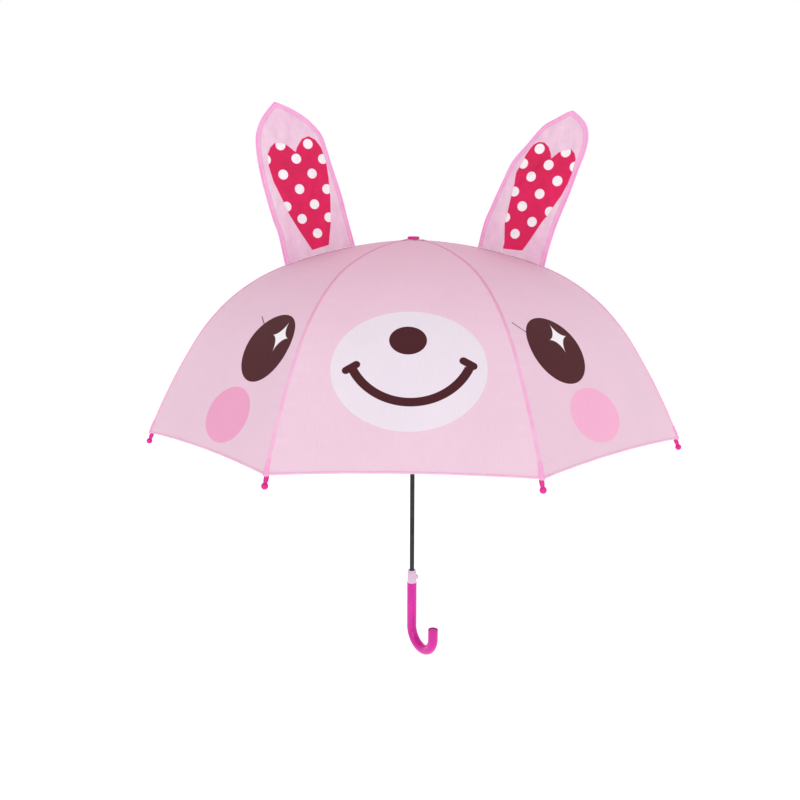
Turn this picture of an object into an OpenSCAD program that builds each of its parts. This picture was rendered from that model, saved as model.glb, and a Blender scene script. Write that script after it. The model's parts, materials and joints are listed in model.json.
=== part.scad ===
// Children's umbrella with rabbit ears, shown open and upright.
// +Z runs up the shaft, the printed face looks along -Y, and the origin is
// the middle of the straight grip, on the shaft's axis.

/* [Canopy] */
// Ribs, and panels of fabric, round the canopy (the joints are set for this number)
rib_count = 8; // [8:1:8]
// Height of the canopy's crown above the middle of the grip
crown_height = 552; // [500:1:640]
// Flat radius at the crown where the rib's curve begins
crown_radius = 7.4; // [7:0.1:9]
// Length of the rib's shallow inner stretch
inner_length = 180; // [150:1:216]
// Length of the strongly curved middle stretch
middle_length = 160; // [134:1:192]
// Length of the straighter outer stretch, out to the middle of the tip ball
outer_length = 146; // [121:1:176]
// Slope of the rib at the crown, degrees below level
crown_slope = 3.5; // [2:0.5:5]
// Slope where the inner stretch ends
shoulder_slope = 20; // [17:1:22]
// Slope where the middle stretch ends
skirt_slope = 57; // [50:1:60]
// Slope at the tip
tip_slope = 68; // [62:1:70]
// Thickness of the canopy fabric with its seams
fabric = 0.8; // [0.6:0.1:1]
// How far the hem curves up in the middle of a panel
hem_arch = 3; // [2:1:10]
// How far a panel pulls in between its ribs, as a part of its radius
panel_draw = 0.008; // [0.004:0.001:0.02]

/* [Ribs and stretchers] */
// Width of a rib
rib_width = 3; // [2.6:0.1:3.6]
// Depth of a rib
rib_depth = 3.6; // [3:0.1:4.2]
// Wall of the rolled steel of ribs and stretchers
rib_wall = 0.5; // [0.4:0.05:0.6]
// Free space between fabric and rib
rib_gap = 0.8; // [0.6:0.1:1.2]
// Distance from the rib's pivot to its stretcher's pivot
stretcher_length = 234; // [200:1:280]
// Depth of a stretcher
stretcher_depth = 2.6; // [2:0.1:3]
// Radius of the rivet that joins rib and stretcher
rivet_radius = 0.8; // [0.6:0.05:1]
// Angle that the ribs fold through
fold_angle = 53; // [46:0.5:53]
// Radius of the balls on the rib tips
ball_radius = 3.8; // [3.3:0.1:4.6]
// Distance from the end of the hem to the middle of a ball
tip_reach = 11; // [10:0.5:14]
// Radius of the tip's neck
neck_radius = 3.3; // [3:0.1:3.8]

/* [Shaft] */
// Radius of the steel shaft
shaft_radius = 3.5; // [3:0.1:4.2]
// Wall of the shaft
shaft_wall = 0.6; // [0.4:0.1:0.9]
// Radius of the circle that the rib and stretcher pivots lie on
pivot_radius = 12; // [12:0.1:14]
// Height of the notch
notch_height = 5; // [4.4:0.1:6]
// Height of the runner's crown
runner_crown = 8; // [7:0.5:10]
// Radius of the runner's sleeve
sleeve_radius = 6.5; // [5.4:0.1:6.8]
// Radius of the wire rings
wire_radius = 0.6; // [0.5:0.05:0.65]

/* [Handle] */
// Radius of the grip
grip_radius = 7.5; // [6.5:0.1:9]
// Length of the straight grip
grip_length = 71; // [60:1:85]
// Radius of the hook, to the middle of its tube
hook_radius = 27; // [22:1:32]
// Straight end of the hook
hook_end = 15; // [12:1:18]
// Way the hook points, degrees from +X
hook_turn = -52; // [-90:1:0]
// Wall of the handle
handle_wall = 1.6; // [1.2:0.1:2.2]
// Height of the collar
collar_height = 20; // [18:0.5:24]
// Radius of the collar, clearly less than the grip's
collar_radius = 6.9; // [6.6:0.1:7]
// How far the push button stands out
button_reach = 3.2; // [2.6:0.1:4]
// Travel of the push button
button_travel = 2; // [1.5:0.1:2.2]
// Height of the push button
button_height = 5.6; // [4.4:0.1:6.5]
// Width of the push button
button_width = 4.4; // [3.6:0.1:5]

/* [Ears] */
// Half width of an ear
ear_half_width = 48.5; // [40:0.5:58]
// Height of an ear
ear_height = 197; // [164:1:236]
// Height up to which an ear's sides are straight
ear_shoulder = 90; // [75:1:108]
// Thickness of an ear with its lining
ear_thickness = 3; // [2:0.1:4]
// Distance along the rib from the crown to the middle of an ear's foot
ear_place = 130; // [110:1:150]
// Extra outward lean of the right ear, degrees
ear_right_lean = 8; // [0:0.5:12]
// Width of the piping round an ear
piping = 3; // [2.4:0.1:3.6]

/* [Strap] */
// Width of the tie strap
strap_width = 18; // [14:1:24]
// Length of the tie strap
strap_length = 44; // [36:1:60]
// Radius of the snap on the strap
snap_radius = 5; // [4:0.1:6]

/* [Hidden] */
$fn = 48;
strip_steps = 40; // straight pieces that a rib's curve is drawn with
slip = 0.05; // radial clearance of a turning fit
side_gap = 0.3; // clearance between faces that pass each other
sliver = 0.02; // overlap that joins two solids of one piece
panel_gap = 0.3; // slit between neighbouring panels
half_sector = 180 / rib_count;
rows = 18;
columns = 4;
top_cap_radius = 8.6;
top_cap_height = 4.6;
rosette_radius = 17;
rosette_thickness = 0.8;
tongue = 1.4; // thickness of the flattened rib and stretcher ends
eye_radius = 1.7;
cheek = 1.8; // radius of the clevis cheeks
cheek_wall = 0.6;
cheek_length = 12;
tongue_length = 15;
neck_bore_play = 0.12;
rivet_head = 0.5;
catch_width = 1.2;
catch_height = 9;
catch_reach = 2.6;
socket_depth = 20;
plug_thickness = 2;
sleeve_rim = 3; // height of the rim at the sleeve's end
latch_gap = 1; // space left between the closed runner and the collar
ear_clear = 0.5;
ear_steps = 24;
strap_thickness = 1.2;

// The rib's top line: arcs whose slopes meet. Points are [radius, height].
lengths = [inner_length, middle_length, outer_length];
slopes = [crown_slope, shoulder_slope, skirt_slope, tip_slope];
function bend(i) = lengths[i] / ((slopes[i + 1] - slopes[i]) * PI / 180);
function outward(a) = [sin(a), cos(a)];
function arc_start(i) = i == 0
  ? [crown_radius, crown_height]
  : arc_middle(i - 1) + bend(i - 1) * outward(slopes[i]);
function arc_middle(i) = arc_start(i) - bend(i) * outward(slopes[i]);
starts = [0, inner_length, inner_length + middle_length];
rib_length = inner_length + middle_length + outer_length;
middles = [for (i = [0:2]) arc_middle(i)];
bends = [for (i = [0:2]) bend(i)];
function arc_of(s) = s < starts[1] ? 0 : s < starts[2] ? 1 : 2;
function slope_at(s) =
  let (i = arc_of(s)) slopes[i] + (s - starts[i]) / bends[i] * 180 / PI;
function line_at(s, off = 0) =
  let (i = arc_of(s)) middles[i] + (bends[i] + off) * outward(slope_at(s));

rib_top = -(fabric + rib_gap);
rib_axis = rib_top - rib_depth / 2;
hem_at = rib_length - tip_reach;
notch_rim = 3; // notch and runner beyond the pivots' circle
tongue_end = pivot_radius + notch_rim + 1.4 - crown_radius; // where the rib's full section begins
rib_end = hem_at + tip_reach / 2;
hinge_low = fabric + rib_gap + eye_radius;
hinge = [pivot_radius, line_at(pivot_radius - crown_radius)[1] - hinge_low];

// The stretcher's pivot: on the rib, stretcher_length away from the hinge.
joint_off = rib_top - cheek - 0.4;
function joint_search(lo, hi, n) =
  let (s = (lo + hi) / 2)
    n == 0 ? s
    : norm(line_at(s, joint_off) - hinge) < stretcher_length
      ? joint_search(s, hi, n - 1) : joint_search(lo, s, n - 1);
joint_at = joint_search(0, rib_length, 40);
joint = line_at(joint_at, joint_off);
arm_angle = atan2(hinge[1] - joint[1], joint[0] - hinge[0]);
arm = norm(joint - hinge);
runner_height = hinge[1] - 2 * arm * sin(arm_angle);
runner_travel = 2 * arm * (sin(arm_angle + fold_angle) - sin(arm_angle));

collar_bottom = grip_length / 2;
collar_top = collar_bottom + collar_height;
// the sleeve's end meets the collar when closed, and always hangs below the runner's crown
sleeve_bottom = min(
  collar_top + latch_gap + runner_travel,
  runner_height - runner_crown / 2 - sleeve_rim
);
shaft_top = hinge[1] + notch_height / 2;
shaft_bottom = collar_bottom - socket_depth;
cheek_inside = rib_width / 2 + side_gap / 2;
cheek_outside = cheek_inside + cheek_wall;
ring_radius = pivot_radius - eye_radius - side_gap - wire_radius;
notch_core = pivot_radius - eye_radius - side_gap;
notch_radius = pivot_radius + notch_rim;

function azimuth(k) = -90 + half_sector + 360 / rib_count * k;

// Stands a shape drawn in the XY plane up in the XZ plane, as [radius, height].
module upright() rotate([90, 0, 0]) children();

// A bar from p, running at angle a in the XZ plane, centred on y = 0.
module bar(p, a, from, to, width, low, high)
  translate([p[0], 0, p[1]])
    rotate([0, -a, 0])
      translate([from, -width / 2, low])
        cube([to - from, width, high - low]);

// A round pin along Y at a point of the XZ plane.
module pin(p, r, y0, y1)
  translate([p[0], y1, p[1]])
    rotate([90, 0, 0])
      cylinder(r = r, h = y1 - y0);

// The side view of a strip that follows the rib's line, between two depths.
module strip(s0, s1, low, high)
  polygon(concat(
    [for (n = [0:strip_steps]) line_at(s0 + (s1 - s0) * n / strip_steps, high)],
    [for (n = [strip_steps:-1:0]) line_at(s0 + (s1 - s0) * n / strip_steps, low)]
  ));

module rib(k)
  color("dimgray")
    rotate(azimuth(k))
      difference() {
        union() {
          upright()
            linear_extrude(rib_width, center = true)
              strip(tongue_end, rib_end, rib_top - rib_depth, rib_top);
          tongue_bar();
          pin(hinge, eye_radius, -tongue / 2, tongue / 2);
        }
        upright()
          linear_extrude(rib_width - 2 * rib_wall, center = true)
            strip(tongue_end + 6, rib_end + 1, rib_top - rib_depth - 1, rib_top - rib_wall);
        pin(hinge, wire_radius + slip * 3, -rib_width, rib_width);
        pin(joint, rivet_radius + slip, -rib_width, rib_width);
      }

// The rib's flattened inner end, from the eye into the channel.
module tongue_bar() {
  far = line_at(tongue_end + 4, rib_axis);
  a = atan2(far[1] - hinge[1], far[0] - hinge[0]);
  bar(hinge, a, 0, norm(far - hinge), tongue, -eye_radius * 0.8, eye_radius * 0.8);
}

module tip(k) {
  foot = line_at(hem_at + 0.5, rib_axis);
  ball = line_at(rib_length, rib_axis);
  a = atan2(ball[1] - foot[1], ball[0] - foot[0]);
  color("deeppink")
    rotate(azimuth(k))
      difference() {
        union() {
          translate([ball[0], 0, ball[1]])
            sphere(r = ball_radius);
          translate([foot[0], 0, foot[1]])
            rotate([0, 90 - a, 0])
              cylinder(r = neck_radius, h = norm(ball - foot));
        }
        bar(
          foot, a, -1, tip_reach / 2 + 0.5,
          rib_width + 2 * neck_bore_play,
          -rib_depth / 2 - neck_bore_play, rib_depth / 2 + neck_bore_play
        );
      }
}

// A point of the canopy: s along the rib, c from -1 to 1 across to the next panel.
function canopy_point(s, c, off) =
  let (
    side = c < 0 ? -1 : 1,
    q = 2 * abs(c) - c * c,
    p = line_at(s * (1 - q * hem_arch / hem_at), off),
    half = p[0] * sin(half_sector),
    x = abs(c) * (half - panel_gap / 2),
    draw = panel_draw * p[0] * q
  )
  [
    p[0] - x * sin(half_sector) - draw * cos(half_sector),
    side * (x * cos(half_sector) - draw * sin(half_sector)),
    p[1]
  ];

module canopy(k) {
  first = pivot_radius - crown_radius;
  span = 2 * columns + 1;
  face = (rows + 1) * span;
  points = [
    for (off = [0, -fabric], i = [0:rows], j = [-columns:columns])
      canopy_point(first + (hem_at - first) * i / rows, j / columns, off)
  ];
  outer = [
    for (i = [0:rows - 1], j = [0:span - 2])
      let (a = i * span + j) each [[a, a + span, a + span + 1], [a, a + span + 1, a + 1]]
  ];
  inner = [for (f = outer) [f[2] + face, f[1] + face, f[0] + face]];
  rim = concat(
    [for (j = [0:span - 2]) j],
    [for (i = [0:rows - 1]) i * span + span - 1],
    [for (j = [0:span - 2]) rows * span + span - 1 - j],
    [for (i = [0:rows - 1]) (rows - i) * span]
  );
  edge = [
    for (n = [0:len(rim) - 1])
      let (a = rim[n], b = rim[(n + 1) % len(rim)])
        each [[a, b, b + face], [a, b + face, a + face]]
  ];
  color("pink")
    rotate(azimuth(k))
      polyhedron(points, concat(outer, inner, edge));
}

module stretcher(k) {
  a = 180 + arm_angle;
  high = stretcher_depth / 2;
  color("gray")
    rotate(azimuth(k))
      difference() {
        union() {
          for (side = [-1, 1]) {
            middle = side * (cheek_inside + cheek_outside) / 2;
            translate([0, middle, 0]) {
              pin(joint, cheek, -cheek_wall / 2, cheek_wall / 2);
              bar(joint, a, 0, cheek_length, cheek_wall, -high, high);
            }
          }
          bar(joint, a, cheek_length - 3, arm - tongue_length, 2 * cheek_outside, -high, high);
          bar(joint, a, arm - tongue_length - 4, arm, tongue, -eye_radius * 0.8, eye_radius * 0.8);
          pin([pivot_radius, runner_height], eye_radius * 0.8, -tongue / 2, tongue / 2);
        }
        bar(
          joint, a, cheek_length - 4, arm - tongue_length - 5,
          2 * cheek_inside, -high - 1, high - rib_wall
        );
        pin(joint, rivet_radius, -rib_width * 2, rib_width * 2);
      }
}

module rivet(k)
  color("silver")
    rotate(azimuth(k)) {
      pin(joint, rivet_radius, -cheek_outside, cheek_outside);
      pin(joint, rivet_radius * 1.8, cheek_outside, cheek_outside + rivet_head);
      pin(joint, rivet_radius * 1.8, -cheek_outside - rivet_head, -cheek_outside);
    }

// A slotted disc on the shaft that ribs or stretchers turn in.
module slotted_disc(z0, z1)
  difference() {
    translate([0, 0, z0])
      cylinder(r = notch_radius, h = z1 - z0);
    for (k = [0:rib_count - 1])
      rotate(azimuth(k))
        translate([notch_core, -tongue / 2 - side_gap, z0 - 1])
          cube([notch_radius, tongue + 2 * side_gap, z1 - z0 + 2]);
  }

module wire_ring(z, r)
  translate([0, 0, z])
    rotate_extrude()
      translate([r, 0])
        circle(r = wire_radius, $fn = 24);

module ring_groove(z, r)
  translate([0, 0, z])
    rotate_extrude()
      translate([r - wire_radius, -wire_radius])
        square([notch_radius, 2 * wire_radius]);

module notch()
  color("black")
    difference() {
      slotted_disc(hinge[1] - notch_height / 2, hinge[1] + eye_radius);
      ring_groove(hinge[1], pivot_radius);
      translate([0, 0, hinge[1] - notch_height])
        cylinder(r = shaft_radius, h = 2 * notch_height);
    }

module notch_wire() color("silver") wire_ring(hinge[1], pivot_radius);

module runner()
  color("black")
    difference() {
      union() {
        slotted_disc(runner_height - runner_crown / 2, runner_height + runner_crown / 2);
        translate([0, 0, sleeve_bottom])
          cylinder(r = sleeve_radius, h = runner_height - sleeve_bottom);
        translate([0, 0, sleeve_bottom])
          cylinder(r = sleeve_radius + 2, h = sleeve_rim);
      }
      ring_groove(runner_height, ring_radius);
      translate([0, 0, sleeve_bottom - 1])
        cylinder(r = shaft_radius + slip, h = runner_height - sleeve_bottom + runner_crown);
    }

module runner_wire() color("silver") wire_ring(runner_height, ring_radius);

module shaft()
  color("slategray")
    difference() {
      translate([0, 0, shaft_bottom])
        cylinder(r = shaft_radius, h = shaft_top - shaft_bottom);
      translate([0, 0, shaft_bottom - 1])
        cylinder(r = shaft_radius - shaft_wall, h = shaft_top - shaft_bottom + 2);
      catch_blade(side_gap / 2);
    }

// Sprung blade that stands out of the shaft under the open runner.
module catch_blade(play = 0)
  translate([0, (catch_width + 2 * play) / 2, sleeve_bottom - side_gap])
    rotate([90, 0, 0])
      linear_extrude(catch_width + 2 * play)
        polygon([
          [shaft_radius - shaft_wall - 0.4 - play, play],
          [shaft_radius + catch_reach, 0],
          [shaft_radius, -catch_height - play],
          [shaft_radius - shaft_wall - 0.4 - play, -catch_height - play]
        ]);

module top_catch() color("silver") catch_blade();

module canopy_rosette()
  color("hotpink")
    translate([0, 0, crown_height])
      difference() {
        cylinder(r = rosette_radius, h = rosette_thickness);
        translate([0, 0, -1])
          cylinder(r = shaft_radius, h = rosette_thickness + 2);
      }

module top_cap() {
  rise = crown_height + rosette_thickness;
  dome = (top_cap_radius * top_cap_radius + top_cap_height * top_cap_height)
    / (2 * top_cap_height);
  color("mediumvioletred")
    union() {
      intersection() {
        translate([0, 0, rise + top_cap_height - dome])
          sphere(r = dome, $fn = 96);
        translate([0, 0, rise])
          cylinder(r = 2 * top_cap_radius, h = 2 * top_cap_height);
      }
      translate([0, 0, shaft_top])
        cylinder(r = shaft_radius, h = rise - shaft_top + sliver);
      translate([0, 0, shaft_top - 8])
        cylinder(r = shaft_radius - shaft_wall, h = 8 + sliver);
    }
}

// The bend of the hook and its straight end, as a solid tube of radius r.
module hook(r)
  translate([0, 0, -grip_length / 2])
    rotate(hook_turn)
      upright()
        translate([hook_radius, 0]) {
          rotate(180)
            rotate_extrude(angle = 180, $fn = 96)
              translate([hook_radius, 0])
                circle(r = r);
        }

module hook_post(r, from, to)
  rotate(hook_turn)
    translate([2 * hook_radius, 0, -grip_length / 2 + from])
      cylinder(r = r, h = to - from);

module handle()
  color("mediumvioletred")
    difference() {
      union() {
        translate([0, 0, -grip_length / 2 - sliver])
          cylinder(r = grip_radius, h = grip_length + sliver);
        hook(grip_radius);
        hook_post(grip_radius, -sliver, hook_end);
      }
      translate([0, 0, shaft_bottom])
        cylinder(r = shaft_radius, h = socket_depth + 1);
      hook_post(grip_radius - handle_wall, hook_end - plug_thickness - 1, hook_end + 1);
    }

module hook_plug()
  color("mediumvioletred")
    hook_post(grip_radius - handle_wall, hook_end - plug_thickness - 1, hook_end - 0.8);

module collar()
  color("thistle")
    difference() {
      union() {
        translate([0, 0, collar_bottom])
          cylinder(r = collar_radius, h = collar_height - 3);
        translate([0, 0, collar_top - 3])
          cylinder(r = collar_radius - 0.9, h = 3);
      }
      translate([0, 0, collar_bottom - 1])
        cylinder(r = shaft_radius, h = collar_height + 2);
      button_block(0, collar_radius + 1, side_gap / 2);
    }

module button_block(from, to, play)
  translate([
    from,
    -button_width / 2 - play,
    collar_bottom + collar_height / 2 - button_height / 2 - 1 - play
  ])
    cube([to - from, button_width + 2 * play, button_height + 2 * play]);

module push_button()
  color("thistle")
    difference() {
      union() {
        button_block(shaft_radius + side_gap + button_travel - 1, collar_radius + button_reach - 1, 0);
        translate([
          collar_radius + button_reach - 1, 0,
          collar_bottom + collar_height / 2 - 1
        ])
          rotate([0, 90, 0])
            cylinder(r = min(button_width, button_height) / 2 - 0.2, h = 1);
      }
      translate([0, 0, collar_bottom])
        cylinder(r = shaft_radius + side_gap + button_travel, h = collar_height);
    }

// Ears stand on the rib's line, in the rib's own plane.
ear_foot_slope = slope_at(ear_place);
ear_foot = line_at(ear_place);
function ear_side(y) =
  ear_half_width * (1 - pow(max(0, (y - ear_shoulder) / (ear_height - ear_shoulder)), 3));
function ear_outline(grow) =
  let (
    top = ear_height + grow,
    low = 14,
    steps = [for (n = [0:ear_steps]) low + (top - low) * sin(90 * n / ear_steps)]
  )
  concat(
    [for (y = steps) [max(0.4, ear_side(y - grow) + grow), y]],
    [for (n = [ear_steps:-1:0]) [-max(0.4, ear_side(steps[n] - grow) + grow), steps[n]]]
  );
module ear_shape(lean, grow)
  difference() {
    translate(ear_foot)
      rotate(-ear_foot_slope - lean)
        union() {
          polygon(ear_outline(grow));
          translate([-ear_half_width - grow, -20])
            square([2 * (ear_half_width + grow), 36]);
        }
    ear_ground();
  }

// Everything below the canopy's ridge, as an area of the rib's plane.
module ear_ground()
  polygon(concat(
    [[0, 0]], [[0, crown_height + ear_clear]],
    [for (n = [0:20]) line_at(hem_at * n / 20, ear_clear)],
    [[line_at(hem_at)[0], 0]]
  ));

module ear_body(k, lean)
  color("pink")
    rotate(azimuth(k))
      upright()
        linear_extrude(ear_thickness, center = true)
          ear_shape(lean, 0);

module ear_trim(k, lean)
  color("hotpink")
    rotate(azimuth(k))
      upright()
        linear_extrude(piping, center = true)
          difference() {
            ear_shape(lean, piping);
            ear_shape(lean, 0);
          }

// The strap hangs from the hem in the middle of the back panel's right half.
strap_rib = 3;
strap_side = 8;
module strap_place() {
  at = line_at(hem_at, 0);
  rotate(azimuth(strap_rib))
    translate([at[0], strap_side, at[1]])
      children();
}

module tie_strap()
  color("pink")
    strap_place()
      translate([-8, 0, -strap_length - 3])
        cube([strap_thickness, strap_width, strap_length]);

module tie_snap()
  color("hotpink")
    strap_place()
      translate([-8 + strap_thickness, strap_width / 2, -strap_length - 3 + snap_radius + 3])
        rotate([0, 90, 0])
          cylinder(r = snap_radius, h = 2);

handle();
hook_plug();
collar();
push_button();
shaft();
top_catch();
notch();
notch_wire();
canopy_rosette();
top_cap();
runner();
runner_wire();
for (k = [0:rib_count - 1]) {
  rib(k);
  tip(k);
  canopy(k);
  stretcher(k);
  rivet(k);
}
ear_body(1, ear_right_lean);  // ear_right
ear_body(6, 0);  // ear_left
ear_trim(1, ear_right_lean);  // ear_right_piping
ear_trim(6, 0);  // ear_left_piping
tie_strap();
tie_snap();
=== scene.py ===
# Children's umbrella with ears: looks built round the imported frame.
import json
import math

import bmesh
import bpy
import numpy as np
from mathutils import Matrix, Vector, noise


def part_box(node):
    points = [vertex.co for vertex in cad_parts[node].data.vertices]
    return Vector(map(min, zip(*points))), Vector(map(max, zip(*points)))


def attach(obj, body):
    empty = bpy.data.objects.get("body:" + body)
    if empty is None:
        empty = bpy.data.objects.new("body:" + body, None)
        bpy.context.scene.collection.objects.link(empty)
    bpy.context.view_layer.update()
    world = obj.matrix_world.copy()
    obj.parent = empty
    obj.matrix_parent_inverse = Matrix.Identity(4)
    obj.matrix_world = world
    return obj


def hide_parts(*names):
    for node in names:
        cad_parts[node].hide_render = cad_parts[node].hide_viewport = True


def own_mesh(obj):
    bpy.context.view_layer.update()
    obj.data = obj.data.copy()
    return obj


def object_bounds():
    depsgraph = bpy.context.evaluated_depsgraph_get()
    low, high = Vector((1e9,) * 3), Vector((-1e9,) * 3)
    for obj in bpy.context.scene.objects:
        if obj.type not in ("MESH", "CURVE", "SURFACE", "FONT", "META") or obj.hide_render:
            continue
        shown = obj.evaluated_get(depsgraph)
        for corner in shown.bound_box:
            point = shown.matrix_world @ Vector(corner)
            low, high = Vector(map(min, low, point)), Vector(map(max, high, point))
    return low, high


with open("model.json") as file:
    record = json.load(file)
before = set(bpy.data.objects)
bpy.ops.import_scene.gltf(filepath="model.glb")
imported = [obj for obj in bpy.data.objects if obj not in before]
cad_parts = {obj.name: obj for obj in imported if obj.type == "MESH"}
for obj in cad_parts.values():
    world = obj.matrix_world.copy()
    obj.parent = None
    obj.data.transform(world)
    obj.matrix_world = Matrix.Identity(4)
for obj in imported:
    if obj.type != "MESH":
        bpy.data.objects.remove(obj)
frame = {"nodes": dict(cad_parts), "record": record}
cadBox = [list(corner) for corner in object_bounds()]
bpy.ops.object.select_all(action="DESELECT")
print("frame loaded")

ribCount = 8
halfSector = math.pi / ribCount
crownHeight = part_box("canopy_rosette")[0].z


def newMaterial(name):
    material = bpy.data.materials.new(name)
    material.use_nodes = True
    tree = material.node_tree
    return material, tree, tree.nodes["Principled BSDF"]


def calc(tree, operation, *values, clamp=False):
    node = tree.nodes.new("ShaderNodeMath")
    node.operation = operation
    node.use_clamp = clamp
    for socket, value in zip(node.inputs, values):
        if isinstance(value, (int, float)):
            socket.default_value = value
        else:
            tree.links.new(value, socket)
    return node.outputs[0]


def mixColour(tree, factor, first, second, blend="MIX"):
    node = tree.nodes.new("ShaderNodeMix")
    node.data_type = "RGBA"
    node.blend_type = blend
    for socket, value in ((node.inputs[0], factor), (node.inputs[6], first), (node.inputs[7], second)):
        if isinstance(value, (int, float)):
            socket.default_value = value
        elif isinstance(value, tuple):
            socket.default_value = (*value, 1)
        else:
            tree.links.new(value, socket)
    return node.outputs[2]


def noiseValue(tree, vector, scale, detail=3, roughness=0.5):
    node = tree.nodes.new("ShaderNodeTexNoise")
    node.inputs["Scale"].default_value = scale
    node.inputs["Detail"].default_value = detail
    node.inputs["Roughness"].default_value = roughness
    tree.links.new(vector, node.inputs["Vector"])
    return node.outputs[0]


def remap(tree, value, low, high, newLow, newHigh):
    node = tree.nodes.new("ShaderNodeMapRange")
    tree.links.new(value, node.inputs[0])
    for index, number in enumerate((low, high, newLow, newHigh)):
        node.inputs[index + 1].default_value = number
    return node.outputs[0]


def shaded(tree, colour, amount):
    grey = tree.nodes.new("ShaderNodeCombineColor")
    for socket in grey.inputs:
        tree.links.new(amount, socket)
    return mixColour(tree, 1.0, colour, grey.outputs[0], "MULTIPLY")


def fabricSheen(shader, weight, roughness, specular):
    shader.inputs["Sheen Weight"].default_value = weight
    shader.inputs["Sheen Roughness"].default_value = roughness
    shader.inputs["Specular IOR Level"].default_value = specular


def stretched(tree, vector, scale):
    node = tree.nodes.new("ShaderNodeMapping")
    node.inputs["Scale"].default_value = scale
    tree.links.new(vector, node.inputs["Vector"])
    return node.outputs[0]


def objectPlace(tree):
    return tree.nodes.new("ShaderNodeTexCoord").outputs["Object"]


def attribute(tree, name):
    node = tree.nodes.new("ShaderNodeAttribute")
    node.attribute_name = name
    return node.outputs["Fac"]


def addBump(tree, shader, height, distance, strength=1.0):
    node = tree.nodes.new("ShaderNodeBump")
    node.inputs["Strength"].default_value = strength
    node.inputs["Distance"].default_value = distance
    tree.links.new(height, node.inputs["Height"])
    tree.links.new(node.outputs[0], shader.inputs["Normal"])


def clothPlace(tree):
    node = tree.nodes.new("ShaderNodeUVMap")
    node.uv_map = "cloth"
    split = tree.nodes.new("ShaderNodeSeparateXYZ")
    tree.links.new(node.outputs[0], split.inputs[0])
    return node.outputs[0], split.outputs[0], split.outputs[1]


edgeSharpness = 2500.0  # a printed edge fades over 0.4 mm


def turned(tree, across, along, centre, angle):
    x = calc(tree, "SUBTRACT", across, centre[0])
    y = calc(tree, "SUBTRACT", along, centre[1])
    c, s = math.cos(angle), math.sin(angle)
    first = calc(tree, "MULTIPLY_ADD", x, c, calc(tree, "MULTIPLY", y, s))
    second = calc(tree, "MULTIPLY_ADD", x, -s, calc(tree, "MULTIPLY", y, c))
    return first, second


def ovalPrint(tree, across, along, centre, radii, angle=0.0):
    x, y = turned(tree, across, along, centre, angle)
    x = calc(tree, "DIVIDE", x, radii[0])
    y = calc(tree, "DIVIDE", y, radii[1])
    reach = calc(tree, "SQRT", calc(tree, "MULTIPLY_ADD", x, x, calc(tree, "MULTIPLY", y, y)))
    inside = calc(tree, "SUBTRACT", 1.0, reach)
    return calc(tree, "MULTIPLY_ADD", inside, edgeSharpness * min(radii), 0.5, clamp=True)


def starPrint(tree, across, along, centre, radii, angle=0.0):
    x, y = turned(tree, across, along, centre, angle)
    x = calc(tree, "POWER", calc(tree, "ABSOLUTE", calc(tree, "DIVIDE", x, radii[0])), 0.6)
    y = calc(tree, "POWER", calc(tree, "ABSOLUTE", calc(tree, "DIVIDE", y, radii[1])), 0.6)
    inside = calc(tree, "SUBTRACT", 1.0, calc(tree, "ADD", x, y))
    return calc(tree, "MULTIPLY_ADD", inside, edgeSharpness * 0.008, 0.5, clamp=True)


def strokePrint(tree, across, along, start, end, radius):
    run = (end[0] - start[0], end[1] - start[1])
    length = math.hypot(*run)
    x, y = turned(tree, across, along, start, math.atan2(run[1], run[0]))
    beyond = calc(tree, "SUBTRACT", x, calc(tree, "MINIMUM", calc(tree, "MAXIMUM", x, 0.0), length))
    reach = calc(tree, "SQRT", calc(tree, "MULTIPLY_ADD", beyond, beyond, calc(tree, "MULTIPLY", y, y)))
    inside = calc(tree, "SUBTRACT", radius, reach)
    return calc(tree, "MULTIPLY_ADD", inside, edgeSharpness, 0.5, clamp=True)


def arcPrint(tree, across, along, centre, radius, width, spread, tilt):
    x, y = turned(tree, across, along, centre, tilt)
    reach = calc(tree, "SQRT", calc(tree, "MULTIPLY_ADD", x, x, calc(tree, "MULTIPLY", y, y)))
    off = calc(tree, "ABSOLUTE", calc(tree, "SUBTRACT", reach, radius))
    ring = calc(tree, "MULTIPLY_ADD", calc(tree, "SUBTRACT", width / 2, off), edgeSharpness, 0.5, clamp=True)
    below = calc(tree, "SUBTRACT", y, radius * math.cos(spread))
    return calc(tree, "MULTIPLY", ring, calc(tree, "MULTIPLY_ADD", below, edgeSharpness, 0.5, clamp=True))


cloth = {
    "pinkLow": (0.745, 0.520, 0.630),
    # painted shade: the crown colour is darker and redder, standing for the shade up at the crown
    "pinkCrownShaded": (0.760, 0.425, 0.560),
    "threadPitch": 0.00042,
    "muzzle": (0.74, 0.655, 0.735),
    "brown": (0.058, 0.009, 0.013),
    "eyeBrown": (0.064, 0.006, 0.010),
    "star": (0.86, 0.80, 0.83),
    "lash": (0.22, 0.09, 0.12),
    "lashRadius": 0.0008,
    "cheek": (0.76, 0.315, 0.500),
}

face = {
    "muzzle": ((0.0040, 0.3581), (0.0838, 0.0730)),
    "nose": ((0.0025, 0.3248), (0.0206, 0.0179), math.radians(2.4)),
    "mouth": ((0.0055, 0.3293), 0.0690, 0.0098, math.radians(66), math.radians(-1.2)),
    "mouthEnds": (((-0.0631, 0.3617), (-0.0525, 0.3549)), ((0.0623, 0.3492), (0.0727, 0.3552))),
    "endRadius": 0.0044,
}

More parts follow.
